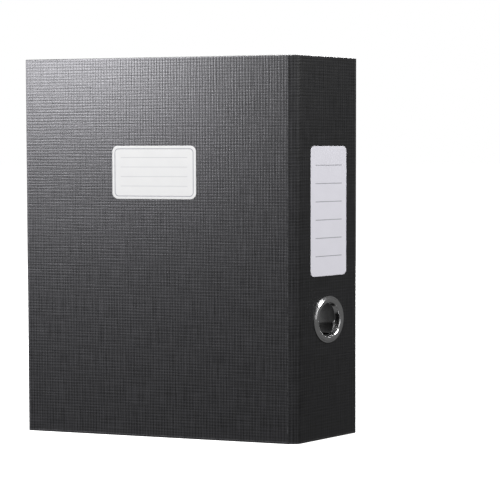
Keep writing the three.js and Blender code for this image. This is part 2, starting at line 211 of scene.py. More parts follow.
def turn(degrees, centre, axis="Z"):
    """Turns the selection anticlockwise about an axis through centre, given in millimetres."""
    pivot = tuple(c * MM for c in centre)
    angle = -math.radians(degrees)
    bpy.ops.transform.rotate(value=angle, orient_axis=axis, center_override=pivot)


def scale(x=1.0, y=1.0, z=1.0, centre=(0.0, 0.0, 0.0)):
    pivot = tuple(c * MM for c in centre)
    bpy.ops.transform.resize(value=(x, y, z), center_override=pivot)


def settle(piece):
    take(piece)
    bpy.ops.object.transform_apply(location=True, rotation=True, scale=True)


def finish_mesh(piece, tolerance=0.004, outside=True):
    open_mesh(piece)
    bpy.ops.mesh.select_all(action="SELECT")
    bpy.ops.mesh.remove_doubles(threshold=tolerance * MM)
    if outside:
        bpy.ops.mesh.normals_make_consistent(inside=False)
    close_mesh()


def modify(piece, kind, **settings):
    take(piece)
    modifier = piece.modifiers.new(kind, kind)
    for key, value in settings.items():
        setattr(modifier, key, value)
    bpy.ops.object.modifier_apply(modifier=modifier.name)


def smooth(piece, degrees=35.0):
    take(piece)
    bpy.ops.object.shade_smooth_by_angle(angle=math.radians(degrees))


def dress(piece, material):
    piece.data.materials.clear()
    piece.data.materials.append(material)


def flat_plane(name, x, y_span, z_span, facing=1.0):
    """A plane parallel to the spine, facing out of it (1) or into the binder (-1)."""
    middle = (x * MM, sum(y_span) / 2 * MM, sum(z_span) / 2 * MM)
    bare_hands()
    bpy.ops.mesh.primitive_plane_add(
        size=1.0, location=middle, rotation=(0.0, facing * math.pi / 2, 0.0))
    plane = bpy.context.object
    plane.name = name
    plane.data.name = name
    plane.scale = ((z_span[1] - z_span[0]) * MM, abs(y_span[1] - y_span[0]) * MM, 1.0)
    settle(plane)
    return plane


# ---------- covering paper and lining ----------
def crease_columns(crease, groove, side, rise=None):
    """The columns across a crease, met from its low (1) or high (-1) side."""
    near = [(crease - side * away, height) for away, height in groove]
    climb = rise or reversed(groove[:-1])
    far = [(crease + side * away, height) for away, height in climb]
    return near + far


def draw_columns(sheet, start, columns, sign=1.0):
    """Extrudes the sheet's edge at start across the crease, column by column."""
    mark(sheet, lambda v: abs(v.co.y - start * MM) < NEAR, "EDGE")
    here_y = start
    here_x = OUTER_FACE if sign > 0 else -LINING_FACE
    for y, x in columns:
        pull(x=sign * (x - here_x), y=y - here_y)
        here_y = y
        here_x = x
    close_mesh()


def rim_steps():
    """The rim row by row: (change of height, step outwards) from the row before."""
    rows = [(1.0, 0.0)] + RIM_ROUND
    steps = [
        (ratio / last_ratio, out - last_out)
        for (last_ratio, last_out), (ratio, out) in zip(rows, rows[1:])]
    return steps + [(1.0, -TURN_IN)]


def wrap_rim(sheet, free_edge, crease, reach):
    """Rolls the sheet's top, bottom and free edge over the board and turns them in."""
    mesh = sheet.data
    top = max(v.co.z for v in mesh.vertices)
    low = min(v.co.z for v in mesh.vertices)
    middle = (top + low) / 2
    lines = [lambda v: abs(v.co.z - top) < NEAR, lambda v: abs(v.co.z - low) < NEAR]
    outwards = 1.0
    if free_edge is not None:
        lines.append(lambda v: abs(v.co.y - free_edge * MM) < NEAR)
        outwards = math.copysign(1.0, free_edge)

    open_mesh(sheet, "EDGE")
    bpy.ops.mesh.select_all(action="DESELECT")
    close_mesh()
    for edge in mesh.edges:
        ends = [mesh.vertices[i] for i in edge.vertices]
        edge.select = any(all(line(v) for v in ends) for line in lines)
    bpy.ops.object.mode_set(mode="EDIT")

    for ratio, out in rim_steps():
        first = len(mesh.vertices)
        bpy.ops.mesh.extrude_region_move()
        scale(x=ratio)
        close_mesh()
        free_now = max(
            (v.co.y for v in mesh.vertices if v.index >= first), key=lambda y: y * outwards)
        sides = [
            (lambda v: v.index >= first and v.co.z > middle, (0.0, 0.0, out)),
            (lambda v: v.index >= first and v.co.z <= middle, (0.0, 0.0, -out)),
        ]
        if free_edge is not None:
            sides.append((
                lambda v: v.index >= first and abs(v.co.y - free_now) < NEAR,
                (0.0, outwards * out, 0.0),
            ))
        for wanted, offset in sides:
            mark(sheet, wanted)
            move(*offset)
            close_mesh()
        mark(sheet, lambda v: v.index >= first, "EDGE")
    close_mesh()

    mark(sheet, lambda v: v.co.x < 0 and abs(v.co.y - crease * MM) < (reach - 0.05) * MM)
    scale(x=INNER_GROOVE)
    close_mesh()


def lay_uv(sheet):
    """Unrolled coordinates in metres, so that the paper's grain follows it over the folds."""
    mesh = sheet.data
    layer = mesh.uv_layers.new(name="grain")
    for loop in mesh.loops:
        place = mesh.vertices[loop.vertex_index].co
        layer.data[loop.index].uv = (place.y - place.x, place.z - place.x)


def fold(sheet, crease, degrees, half_fold, side):
    """Folds everything on one side (-1 low, 1 high) of a crease, easing through the groove."""
    rows = sorted({round(v.co.y / MM, 4) for v in sheet.data.vertices})
    groups = {row: [] for row in rows}
    for vertex in sheet.data.vertices:
        groups[round(vertex.co.y / MM, 4)].append(vertex.index)
    shares = {}
    for row in rows:
        t = min(1.0, max(0.0, (side * (row - crease) + half_fold) / (2 * half_fold)))
        share = round(t * t * (3 - 2 * t), 5)
        shares.setdefault(share, set()).update(groups[row])
    for share, members in shares.items():
        if share > 0:
            mark(sheet, lambda v: v.index in members)
            turn(degrees * share, (0.0, crease, 0.0))
            close_mesh()


def blend_over(sheet):
    """Bakes the sheet's placement into its mesh."""
    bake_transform(sheet)


def thicken(sheet, thickness):
    modify(sheet, "SOLIDIFY", thickness=thickness * MM, offset=-1.0, use_even_offset=True)


def finger_hole(sheet, radius):
    bare_hands()
    bpy.ops.mesh.primitive_cylinder_add(
        vertices=96, radius=radius * MM, depth=12 * MM,
        location=(0.0, RING_Y * MM, RING_Z * MM), rotation=(0.0, math.pi / 2, 0.0))
    punch = bpy.context.object
    settle(punch)
    modify(sheet, "BOOLEAN", operation="DIFFERENCE", object=punch, solver="EXACT")
    bare_hands()
    bpy.data.objects.remove(punch)


def cover_front():
    """Covering paper from the fore edge, over the front board and halfway over the strip."""
    start = COVER_CREASE - FRONT_GROOVE[0][0]
    z_span = (RIM, HEIGHT - RIM)
    sheet = flat_plane("front_covering", OUTER_FACE, (FRONT_EDGE + RIM, start), z_span)
    columns = crease_columns(COVER_CREASE, FRONT_GROOVE, 1, STRIP_RISE)[1:]
    draw_columns(sheet, start, columns + [(STRIP_MIDDLE, STRIP_FACE)])
    wrap_rim(sheet, FRONT_EDGE + RIM, COVER_CREASE, FRONT_GROOVE[0][0])
    finish_mesh(sheet)
    lay_uv(sheet)
    fold(sheet, COVER_CREASE, -COVER_BEND, FRONT_FOLD, -1)
    fold(sheet, STRIP_CREASE, -STRIP_BEND, FRONT_FOLD, -1)
    thicken(sheet, PAPER)
    return sheet


def cover_spine():
    """Covering paper over the other half of the strip and across the spine."""
    start = STRIP_CREASE + FRONT_GROOVE[0][0]
    z_span = (RIM, HEIGHT - RIM)
    sheet = flat_plane("spine_covering", OUTER_FACE, (start, SPINE_SEAM), z_span)
    columns = crease_columns(STRIP_CREASE, FRONT_GROOVE, -1, STRIP_RISE)[1:]
    draw_columns(sheet, start, columns + [(STRIP_MIDDLE, STRIP_FACE)])
    wrap_rim(sheet, None, STRIP_CREASE, FRONT_GROOVE[0][0])
    finish_mesh(sheet)
    lay_uv(sheet)
    fold(sheet, STRIP_CREASE, -STRIP_BEND, FRONT_FOLD, -1)
    thicken(sheet, PAPER)
    finger_hole(sheet, RING_HOLE)
    return sheet


def cover_back():
    """Covering paper from the spine's edge, round the back crease and over the back board."""
    start = BACK_CREASE + BACK_GROOVE[0][0]
    z_span = (RIM, HEIGHT - RIM)
    sheet = flat_plane("back_covering", OUTER_FACE, (start, BACK_EDGE - RIM), z_span)
    columns = crease_columns(BACK_CREASE, BACK_GROOVE, -1)[1:]
    draw_columns(sheet, start, columns + [(SPINE_SEAM, OUTER_FACE)])
    wrap_rim(sheet, BACK_EDGE - RIM, BACK_CREASE, BACK_GROOVE[0][0])
    finish_mesh(sheet)
    lay_uv(sheet)
    fold(sheet, BACK_CREASE, BACK_BEND, BACK_FOLD, 1)
    thicken(sheet, PAPER)
    return sheet


def hinge_strip_board():
    """The thin board in the hinge strip, hidden between its two papers."""
    bare_hands()
    bpy.ops.mesh.primitive_cube_add(size=1.0, location=(0.0, STRIP_MIDDLE * MM, HEIGHT / 2 * MM))
    strip = bpy.context.object
    strip.name = "thin_strip_board"
    strip.data.name = strip.name
    strip.scale = (
        2 * STRIP_BOARD["half_thickness"] * MM,
        2 * STRIP_BOARD["half_width"] * MM,
        (HEIGHT - 2 * STRIP_BOARD["inset"]) * MM)
    settle(strip)
    modify(strip, "BEVEL", width=0.2 * MM, segments=2)
    mark(strip, lambda v: True)
    turn(-STRIP_BEND, (0.0, STRIP_CREASE, 0.0))
    close_mesh()
    return strip


def line_panel(name, start, far, crease, groove, side, end):
    """A sheet of lining paper from a panel's far edge over a crease to its end."""
    z_span = (LINING_INSET, HEIGHT - LINING_INSET)
    sheet = flat_plane(name, LINING_FACE, sorted((start, far)), z_span, facing=-1.0)
    columns = crease_columns(crease, groove, side)[1:]
    draw_columns(sheet, start, columns + [(end, -LINING_FACE)], sign=-1.0)
    finish_mesh(sheet, outside=False)
    lay_uv(sheet)
    return sheet


def line_binder():
    front = line_panel(
        "front_lining_sheet", COVER_CREASE - 1.5, FRONT_EDGE + LINING_INSET,
        COVER_CREASE, LINING_FRONT_GROOVE, 1, STRIP_MIDDLE)
    fold(front, COVER_CREASE, -COVER_BEND, FRONT_FOLD, -1)
    fold(front, STRIP_CREASE, -STRIP_BEND, FRONT_FOLD, -1)
    thicken(front, LINING)

    spine = line_panel(
        "spine_lining_sheet", STRIP_CREASE + 1.5, SPINE_SEAM,
        STRIP_CREASE, LINING_FRONT_GROOVE, -1, STRIP_MIDDLE)
    fold(spine, STRIP_CREASE, -STRIP_BEND, FRONT_FOLD, -1)
    thicken(spine, LINING)
    finger_hole(spine, RING_HOLE)

    back = line_panel(
        "back_lining_sheet", BACK_CREASE + 1.9, BACK_EDGE - LINING_INSET,
        BACK_CREASE, LINING_BACK_GROOVE, -1, SPINE_SEAM)
    fold(back, BACK_CREASE, BACK_BEND, BACK_FOLD, 1)
    thicken(back, LINING)
    return front, spine, back


# ---------- labels ----------
def paper_label(name, size):
    """A rounded paper label, flat in the spine's plane, with a softened cut edge."""
    half_y = size["width"] / 2
    half_z = size["height"] / 2
    label = flat_plane(
        name, LABEL_FACE, (size["y"] - half_y, size["y"] + half_y),
        (size["z"] - half_z, size["z"] + half_z))
    open_mesh(label)
    bpy.ops.mesh.select_all(action="SELECT")
    bpy.ops.mesh.bevel(
        offset_type="OFFSET", offset=size["corner"] * MM, segments=8, affect="VERTICES")
    bpy.ops.mesh.select_all(action="SELECT")
    bpy.ops.mesh.inset(thickness=0.35 * MM, depth=0.0)
    close_mesh()
    mark(label, lambda v: label_rim(v, size))
    move(x=-0.07)
    bpy.ops.mesh.select_mode(type="EDGE")
    pull(x=-0.13)
    close_mesh()
    layer = label.data.uv_layers.active or label.data.uv_layers.new(name="print")
    layer.name = "print"
    for loop in label.data.loops:
        place = label.data.vertices[loop.vertex_index].co
        layer.data[loop.index].uv = (
            place.y - (size["y"] - half_y) * MM, place.z - (size["z"] - half_z) * MM)
    open_mesh(label)
    bpy.ops.mesh.select_all(action="SELECT")
    bpy.ops.mesh.normals_make_consistent(inside=False)
    close_mesh()
    return label


def label_rim(vertex, size):
    """True for the label's outermost row of vertices."""
    y = abs(vertex.co.y / MM - size["y"]) - (size["width"] / 2 - size["corner"])
    z = abs(vertex.co.z / MM - size["z"]) - (size["height"] / 2 - size["corner"])
    if y > 0 and z > 0:
        return math.hypot(y, z) > size["corner"] - 0.15
    return max(y, z) > size["corner"] - 0.15


# ---------- turned, bent and pressed metal ----------
def turned(name, profile, centre, axis, steps):
    """Spins a profile of (radius, distance along the axis) about an axis through centre."""
    along = {"x": Vector((1, 0, 0)), "y": Vector((0, 1, 0)), "z": Vector((0, 0, 1))}[axis[-1]]
    if axis[0] == "-":
        along = -along
    across = Vector((0, 0, 1)) if axis[-1] != "z" else Vector((1, 0, 0))
    middle = Vector(centre)
    points = [middle + across * radius + along * distance for radius, distance in profile]
    bare_hands()
    bpy.ops.mesh.primitive_plane_add(size=0.01, location=tuple(points[0] * MM))
    piece = bpy.context.object
    piece.name = name
    piece.data.name = name
    settle(piece)
    open_mesh(piece)
    bpy.ops.mesh.select_all(action="SELECT")
    bpy.ops.mesh.merge(type="CENTER")
    for here, there in zip(points, points[1:]):
        pull(*(there - here))
    bpy.ops.mesh.select_all(action="SELECT")
    bpy.ops.mesh.spin(
        steps=steps, angle=math.tau, center=tuple(middle * MM), axis=tuple(along))
    close_mesh()
    finish_mesh(piece)
    return piece


def arc_points(centre, radius, start, end, count):
    """Points of an arc in the profile's plane, from start to end in degrees."""
    found = []
    for i in range(count + 1):
        angle = math.radians(start + (end - start) * i / count)
        found.append((centre[0] + radius * math.cos(angle), centre[1] + radius * math.sin(angle)))
    return found


def finger_ring():
    outer = 1.35
    bore = 13.75
    curl = -2.35
    profile = [(19.5, outer)]
    profile += arc_points((19.25, outer + 0.55), 0.25, 0, 90, 3)
    profile += [(18.75, outer + 0.74), (18.45, outer + 0.86)]
    profile += arc_points((17.0, outer + 0.7), 1.3, 15, 90, 8)
    profile += arc_points((15.95, outer - 0.2), 2.2, 90, 180, 14)
    profile += [(bore, curl + 0.6)]
    profile += arc_points((bore + 0.7, curl - 0.05), 0.7, 180, 270, 6)
    profile += [(17.0, curl - 0.75), (17.0, curl - 0.05), (14.45, curl - 0.05), (14.45, outer)]
    profile += [(19.5, outer)]
    return turned("rolled_finger_ring", profile, (0.0, RING_Y, RING_Z), "x", steps=96)


def ring_washer():
    face = -2.35
    profile = [(14.8, -1.65), (14.8, face + 0.1), (14.95, face), (18.2, face), (18.5, face + 0.25)]
    profile += [(18.5, -1.65), (14.8, -1.65)]
    return turned("ring_backing_washer", profile, (0.0, RING_Y, RING_Z), "x", steps=96)


def at(u, h, z):
    """A point of the mechanism in the binder's frame, in millimetres."""
    return Vector((-u, LINING_Y - h, MECHANISM_Z + z))


def bent_wire(name, radius, corners, sides=16):
    """A round wire extruded along straights and spun round its bends."""
    points = [at(*corner[:3]) for corner in corners]
    heading = (points[1] - points[0]).normalized()
    turn_to = Vector((0, 0, 1)).rotation_difference(heading).to_euler()
    bare_hands()
    bpy.ops.mesh.primitive_circle_add(
        vertices=sides, radius=radius * MM, fill_type="NGON",
        location=tuple((points[0] - heading * NOSE) * MM), rotation=tuple(turn_to))
    wire = bpy.context.object
    wire.name = name
    wire.data.name = name
    settle(wire)
    open_mesh(wire, "FACE")
    bpy.ops.mesh.select_all(action="SELECT")
    pull(*(heading * NOSE))
    close_mesh()
    mark(wire, lambda v: (v.co / MM - points[0]).dot(heading) < -NOSE / 2)
    scale(0.3, 0.3, 0.3, points[0] - heading * NOSE)
    close_mesh()
    mark(wire, lambda v: (v.co / MM - points[0]).dot(heading) > -NOSE / 2)
    here = points[0]
    for i in range(1, len(points)):
        heading = (points[i] - points[i - 1]).normalized()
        bend = corners[i][3] if len(corners[i]) > 3 else 0.0
        there = points[i] - heading * bend
        pull(*(there - here))
        here = there
        if bend:
            leaving = (points[i + 1] - points[i]).normalized()
            middle = here + leaving * bend
            spindle = heading.cross(leaving)
            bpy.ops.mesh.spin(
                steps=8, angle=-math.pi / 2, center=tuple(middle * MM), axis=tuple(spindle))
            here = points[i] + leaving * bend
    pull(*(heading * NOSE))
    scale(0.3, 0.3, 0.3, points[-1] + heading * NOSE)
    close_mesh()
    finish_mesh(wire)
    return wire


def softened(node_name, name):
    """A copy of a pressed steel part with its sharp corners rounded off."""
    source = frame["nodes"][node_name]
    piece = source.copy()
    piece.data = source.data.copy()
    piece.name = name
    piece.data.name = name
    piece.parent = None
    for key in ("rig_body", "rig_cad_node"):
        if key in piece:
            del piece[key]
    bpy.context.scene.collection.objects.link(piece)
    open_mesh(piece)
    bpy.ops.mesh.select_all(action="SELECT")
    bpy.ops.mesh.remove_doubles(threshold=0.002 * MM)
    bpy.ops.mesh.dissolve_limited(angle_limit=math.radians(2.0))
    close_mesh()
    modify(
        piece, "BEVEL", width=EDGE_BREAK * MM, segments=2, limit_method="ANGLE",
        angle_limit=math.radians(40.0), use_clamp_overlap=True, harden_normals=False)
    return piece


def post_tube(name, z):
    """A punched-sheet post: riveted foot, tube with a rolled collar and an open, rounded top."""
    profile = [(0.0, 1.05), (5.9, 1.05)]
    profile += arc_points((5.75, 1.3), 0.25, -60, 60, 4)
    profile += [(5.2, 1.95), (4.2, 2.15), (3.7, 2.5), (3.35, 3.0), (3.2, 3.6)]
    profile += [(3.2, POST_TOP - 11.0), (3.1, POST_TOP - 10.8), (3.1, POST_TOP - 10.2)]
    profile += [(3.2, POST_TOP - 10.0)]
    profile += arc_points((2.75, POST_TOP - 0.45), 0.45, 0, 180, 8)
    profile += [(2.3, POST_TOP - 8.0), (0.0, POST_TOP - 8.3)]
    return turned(name, profile, tuple(at(POST_U, 0.0, z)), "-y", steps=32)


def headed_pin(name, z, h, radius, head, reach):
    """A pin along u with a domed, riveted head at each end."""
    profile = [(0.0, -reach - 0.7), (head * 0.55, -reach - 0.62), (head * 0.88, -reach - 0.4)]
    profile += [(head, -reach - 0.12), (head, -reach), (radius, -reach), (radius, reach)]
    profile += [(head, reach), (head, reach + 0.12), (head * 0.88, reach + 0.4)]
    profile += [(head * 0.55, reach + 0.62), (0.0, reach + 0.7)]
    return turned(name, profile, tuple(at(LEVER_U, h, z)), "x", steps=32)


def torsion_spring():
    """A wire coiled round the axle with a straight leg off each end."""
    axle = at(ARCH_U, AXLE_H, SPRING_Z)
    bare_hands()
    bpy.ops.mesh.primitive_circle_add(
        vertices=12, radius=SPRING_WIRE * MM,
        location=tuple((axle + Vector((0.0, SPRING_COIL, 0.0))) * MM),
        rotation=(0.0, math.pi / 2, 0.0))
    spring = bpy.context.object
    spring.name = "coiled_arch_spring"
    spring.data.name = spring.name
    bpy.context.scene.cursor.location = tuple(axle * MM)
    bpy.ops.object.origin_set(type="ORIGIN_CURSOR")
    bpy.context.scene.cursor.location = (0.0, 0.0, 0.0)
    bpy.ops.object.transform_apply(location=False, rotation=True, scale=True)
    modify(
        spring, "SCREW", axis="Z", angle=-math.tau * SPRING_TURNS,
        screw_offset=SPRING_PITCH * SPRING_TURNS * MM, iterations=1,
        steps=int(24 * SPRING_TURNS), render_steps=int(24 * SPRING_TURNS))
    settle(spring)
    finish_mesh(spring)
    top = axle + Vector((SPRING_COIL, 0.0, SPRING_PITCH * SPRING_TURNS))
    low = axle + Vector((0.0, SPRING_COIL, 0.0))
    reach = (SPRING_WIRE + 0.15) * MM
    for end, leg in ((low, (-SPRING_LEG, 0.0, 0.0)), (top, (0.0, -SPRING_LEG, 0.0))):
        flat = 0 if leg[0] else 1
        mark(spring, lambda v: (
            (v.co - end * MM).length < reach and abs(v.co[flat] - end[flat] * MM) < 2e-5), "EDGE")
        pull(*leg)
        bpy.ops.mesh.edge_face_add()
        close_mesh()
    finish_mesh(spring)
    return spring


# ---------- materials ----------
class Finish:
    """A node material built up from its Principled shader."""

    def __init__(self, name):
        self.material = bpy.data.materials.new(name)
        self.material.use_nodes = True
        self.nodes = self.material.node_tree.nodes
        self.links = self.material.node_tree.links
        self.shader = self.nodes["Principled BSDF"]

    def add(self, kind, **values):
        node = self.nodes.new(kind)
        for key, value in values.items():
            setattr(node, key, value)
        return node

    def join(self, output, socket):
        self.links.new(output, socket)

    def set(self, **values):
        for key, value in values.items():
            self.shader.inputs[key.replace("_", " ")].default_value = value

    def place(self, uv=None, size=(1.0, 1.0, 1.0)):
        """Object coordinates, or a named unrolled map, divided by size in metres."""
        if uv:
            source = self.add("ShaderNodeUVMap", uv_map=uv).outputs["UV"]
        else:
            source = self.add("ShaderNodeTexCoord").outputs["Object"]
        mapping = self.add("ShaderNodeMapping")
        mapping.inputs["Scale"].default_value = tuple(1.0 / s for s in size)
        self.join(source, mapping.inputs["Vector"])
        return mapping.outputs["Vector"]

    def noise(self, vector, detail, rough):
        node = self.add("ShaderNodeTexNoise")
        node.inputs["Scale"].default_value = 1.0
        node.inputs["Detail"].default_value = detail
        node.inputs["Roughness"].default_value = rough
        self.join(vector, node.inputs["Vector"])
        return node.outputs["Fac"]

    def calculate(self, operation, first, second=None, third=None):
        node = self.add("ShaderNodeMath", operation=operation)
        for i, value in enumerate((first, second, third)):
            if value is None:
                continue
            if isinstance(value, (int, float)):
                node.inputs[i].default_value = value
            else:
                self.join(value, node.inputs[i])
        return node.outputs[0]

    def spread(self, value, low, high, to_low=0.0, to_high=1.0):
        node = self.add("ShaderNodeMapRange")
        node.inputs["From Min"].default_value = low
        node.inputs["From Max"].default_value = high
        node.inputs["To Min"].default_value = to_low
        node.inputs["To Max"].default_value = to_high
        self.join(value, node.inputs["Value"])
        return node.outputs["Result"]

    def tint(self, factor, first, second):
        """Mixes two colours, each given as a value or as another node's output."""
        node = self.add("ShaderNodeMix", data_type="RGBA")
        for socket, value in (("A", first), ("B", second)):
            target = next(
                i for i in node.inputs if i.name == socket and i.type == "RGBA")
            if isinstance(value, tuple):
                target.default_value = (*value, 1.0)
            else:
                self.join(value, target)
        self.join(factor, next(i for i in node.inputs if i.name == "Factor"))
        return next(o for o in node.outputs if o.type == "RGBA")

    def relief(self, height, depth, strength=1.0):
        node = self.add("ShaderNodeBump")
        node.inputs["Distance"].default_value = depth * MM
        node.inputs["Strength"].default_value = strength
        self.join(height, node.inputs["Height"])
        self.join(node.outputs["Normal"], self.shader.inputs["Normal"])


def rub_and_crease_highlight(finish, split):
    """Patchy rubbing of the paper along its turned rims, and a lighter line on the shoulders of
    its creases that is partly rubbing and partly painted highlight.
    """
    shoulder = FRONT_GROOVE[0][0] + OUTER_FACE
    rub_and_highlight = 0.0
    for socket, line, reach in (
            ("X", FRONT_EDGE - 0.2, 1.1),
            ("X", BACK_EDGE - 0.8, 1.3),
            ("Y", 0.2, 1.0),
            ("Y", HEIGHT - 0.7, 1.3),
            ("X", COVER_CREASE - shoulder, 0.7),
            ("X", BACK_CREASE - BACK_GROOVE[0][0] - OUTER_FACE, 0.7),
            ("X", BACK_CREASE + BACK_GROOVE[0][0] - OUTER_FACE, 0.7)):
        offset = finish.calculate("SUBTRACT", split.outputs[socket], line * MM)
        away = finish.calculate("ABSOLUTE", offset)
        rub_and_highlight = finish.calculate("MAXIMUM", rub_and_highlight, finish.spread(away, 0.0, reach * MM, 1.0, 0.0))
    patches = finish.noise(finish.place("grain", (7.0 * MM, 7.0 * MM, 1.0)), 4.0, 0.65)
    return finish.calculate("MULTIPLY", rub_and_highlight, finish.spread(patches, 0.42, 0.7, 0.08, 0.6))


def linen_paper():
    """Black covering paper, embossed with the uneven cross threads of linen."""
    finish = Finish("black_linen_paper")
    layer = finish.add("ShaderNodeUVMap", uv_map="grain")
    split = finish.add("ShaderNodeSeparateXYZ")
    finish.join(layer.outputs["UV"], split.inputs["Vector"])
    turns = math.tau / (THREAD_PITCH * MM)
    column_drift = finish.noise(finish.place("grain", (5.0 * MM, 40.0 * MM, 1.0)), 1.0, 0.5)
    row_drift = finish.noise(finish.place("grain", (40.0 * MM, 5.0 * MM, 1.0)), 1.0, 0.5)
    column_phase = finish.calculate(
        "MULTIPLY_ADD", split.outputs["X"], turns,
        finish.calculate("MULTIPLY", column_drift, THREAD_WANDER))
    row_phase = finish.calculate(
        "MULTIPLY_ADD", split.outputs["Y"], turns,
        finish.calculate("MULTIPLY", row_drift, THREAD_WANDER))
    columns = finish.calculate("SINE", column_phase)
    rows = finish.calculate("SINE", row_phase)
    across = finish.noise(finish.place("grain", (24.0 * MM, 1.0 * MM, 1.0)), 1.0, 0.5)
    upright = finish.noise(finish.place("grain", (1.0 * MM, 24.0 * MM, 1.0)), 1.0, 0.5)
    fine = finish.noise(finish.place("grain", (0.5 * MM, 0.5 * MM, 1.0)), 1.0, 0.5)
    weave = finish.calculate("MULTIPLY_ADD", rows, ROW_SHARE, columns)
    level_slubs = finish.calculate("MULTIPLY", across, LEVEL_SLUBS)
    slubs = finish.calculate("MULTIPLY_ADD", upright, UPRIGHT_SLUBS, level_slubs)
    height = finish.calculate("MULTIPLY_ADD", weave, WEAVE_HEIGHT, slubs)
    height = finish.calculate("MULTIPLY_ADD", fine, PAPER_TOOTH, height)
    level = finish.spread(height, 0.35, 1.25)
    finish.relief(height, EMBOSS_DEPTH, 0.46)
    colour = finish.tint(level, (0.001, 0.001, 0.0012), (0.0150, 0.0150, 0.0164))
    # Lightens the paper along its rims as rubbing, and on the crease shoulders as rubbing plus a
    # painted highlight.
    colour = finish.tint(rub_and_crease_highlight(finish, split), colour, (0.075, 0.075, 0.078))
    finish.join(colour, finish.shader.inputs["Base Color"])
    finish.join(finish.spread(level, 0.0, 1.0, 0.335, 0.45), finish.shader.inputs["Roughness"])
    finish.set(Specular_IOR_Level=0.75)
    return finish.material


def lining_paper():
    """Plain dark lining paper with a fine fibrous tooth."""
    finish = Finish("dark_lining_paper")
    fibre = finish.noise(finish.place("grain", (1.4 * MM, 0.5 * MM, 1.0)), 4.0, 0.6)
    cloud = finish.noise(finish.place("grain", (30 * MM, 24 * MM, 1.0)), 3.0, 0.6)
    level = finish.calculate("MULTIPLY_ADD", cloud, 0.5, finish.calculate("MULTIPLY", fibre, 0.5))
    shade = finish.spread(level, 0.35, 0.65)
    colour = finish.tint(shade, (0.008, 0.008, 0.0088), (0.0145, 0.0145, 0.0157))
    finish.join(colour, finish.shader.inputs["Base Color"])
    finish.join(finish.spread(level, 0.3, 0.7, 0.82, 0.72), finish.shader.inputs["Roughness"])
    finish.relief(fibre, 0.05, 0.5)
    finish.set(Specular_IOR_Level=0.15)
    return finish.material


def grey_board():
    finish = Finish("grey_board")
    fibre = finish.noise(finish.place(size=(0.8 * MM, 0.8 * MM, 2.5 * MM)), 4.0, 0.65)
    colour = finish.tint(fibre, (0.2, 0.18, 0.155), (0.34, 0.31, 0.27))
    finish.join(colour, finish.shader.inputs["Base Color"])
    finish.join(finish.spread(fibre, 0.3, 0.7, 0.85, 0.95), finish.shader.inputs["Roughness"])
    finish.relief(fibre, 0.08, 0.6)
    return finish.material


def border_line(finish, across, up, size, border, edge):
    """A line round the label at an inset from its edge, with rounded corners."""
    corner = border["corner"] * MM
    reach = []
    for value, full in ((across, size["width"]), (up, size["height"])):
        from_middle = finish.calculate("SUBTRACT", value, full / 2 * MM)
        off_middle = finish.calculate("ABSOLUTE", from_middle)
        flat = (full / 2 - border["inset"]) * MM - corner
        reach.append(finish.calculate("SUBTRACT", off_middle, flat))
    clipped = [finish.calculate("MAXIMUM", value, 0.0) for value in reach]
    squares = [finish.calculate("MULTIPLY", value, value) for value in clipped]
    round_part = finish.calculate("SQRT", finish.calculate("ADD", *squares))
    straight = finish.calculate("MINIMUM", finish.calculate("MAXIMUM", *reach), 0.0)
    outline = finish.calculate("ADD", round_part, straight)
    off_line = finish.calculate("ABSOLUTE", finish.calculate("SUBTRACT", outline, corner))
    half_line = border["line"] / 2 * MM
    return finish.spread(off_line, half_line, half_line + edge, 1.0, 0.0)


def ruled_paper(name, size, rules, paper, ink, border):
    """Smooth label paper with thin printed rules, and a border line where there is one."""
    finish = Finish(name)
    layer = finish.add("ShaderNodeUVMap", uv_map="print")
    split = finish.add("ShaderNodeSeparateXYZ")
    finish.join(layer.outputs["UV"], split.inputs["Vector"])
    across = split.outputs["X"]
    up = split.outputs["Y"]
    edge = 0.1 * MM
    half_line = rules["line"] / 2 * MM

    def inside(value, low, high):
        above = finish.spread(value, (low - 0.05) * MM, (low + 0.05) * MM)
        below = finish.spread(value, (high - 0.05) * MM, (high + 0.05) * MM, 1.0, 0.0)
        return finish.calculate("MULTIPLY", above, below)

    step = rules["pitch"] * MM
    from_first = finish.calculate("SUBTRACT", up, (rules["first"] - rules["pitch"] / 2) * MM)
    within = finish.calculate("FLOORED_MODULO", from_first, step)
    off_line = finish.calculate("ABSOLUTE", finish.calculate("SUBTRACT", within, step / 2))
    on_line = finish.spread(off_line, half_line, half_line + edge, 1.0, 0.0)
    low = rules["first"] - rules["pitch"] / 2
    high = low + rules["pitch"] * rules["count"]
    ruled = finish.calculate("MULTIPLY", on_line, inside(up, low, high))
    margin = rules["margin"]
    ruled = finish.calculate("MULTIPLY", ruled, inside(across, margin, size["width"] - margin))
    printed = ruled
    if border:
        framed = border_line(finish, across, up, size, border, edge)
        faint = finish.calculate("MULTIPLY", ruled, border["rule_ink"])
        printed = finish.calculate("MAXIMUM", faint, framed)
    fibre = finish.noise(finish.place("print", (0.7 * MM, 0.35 * MM, 1.0)), 3.0, 0.6)
    cloud = finish.noise(finish.place("print", (14 * MM, 12 * MM, 1.0)), 2.0, 0.5)
    tone = finish.calculate("MULTIPLY_ADD", cloud, 0.6, finish.calculate("MULTIPLY", fibre, 0.4))
    shade = tuple(c * 0.965 for c in paper)
    ground = finish.tint(finish.spread(tone, 0.35, 0.65), shade, paper)
    colour = finish.tint(printed, ground, ink)
    finish.join(colour, finish.shader.inputs["Base Color"])
    finish.join(finish.spread(fibre, 0.3, 0.7, 0.5, 0.6), finish.shader.inputs["Roughness"])
    finish.relief(fibre, 0.02, 0.4)
    return finish.material


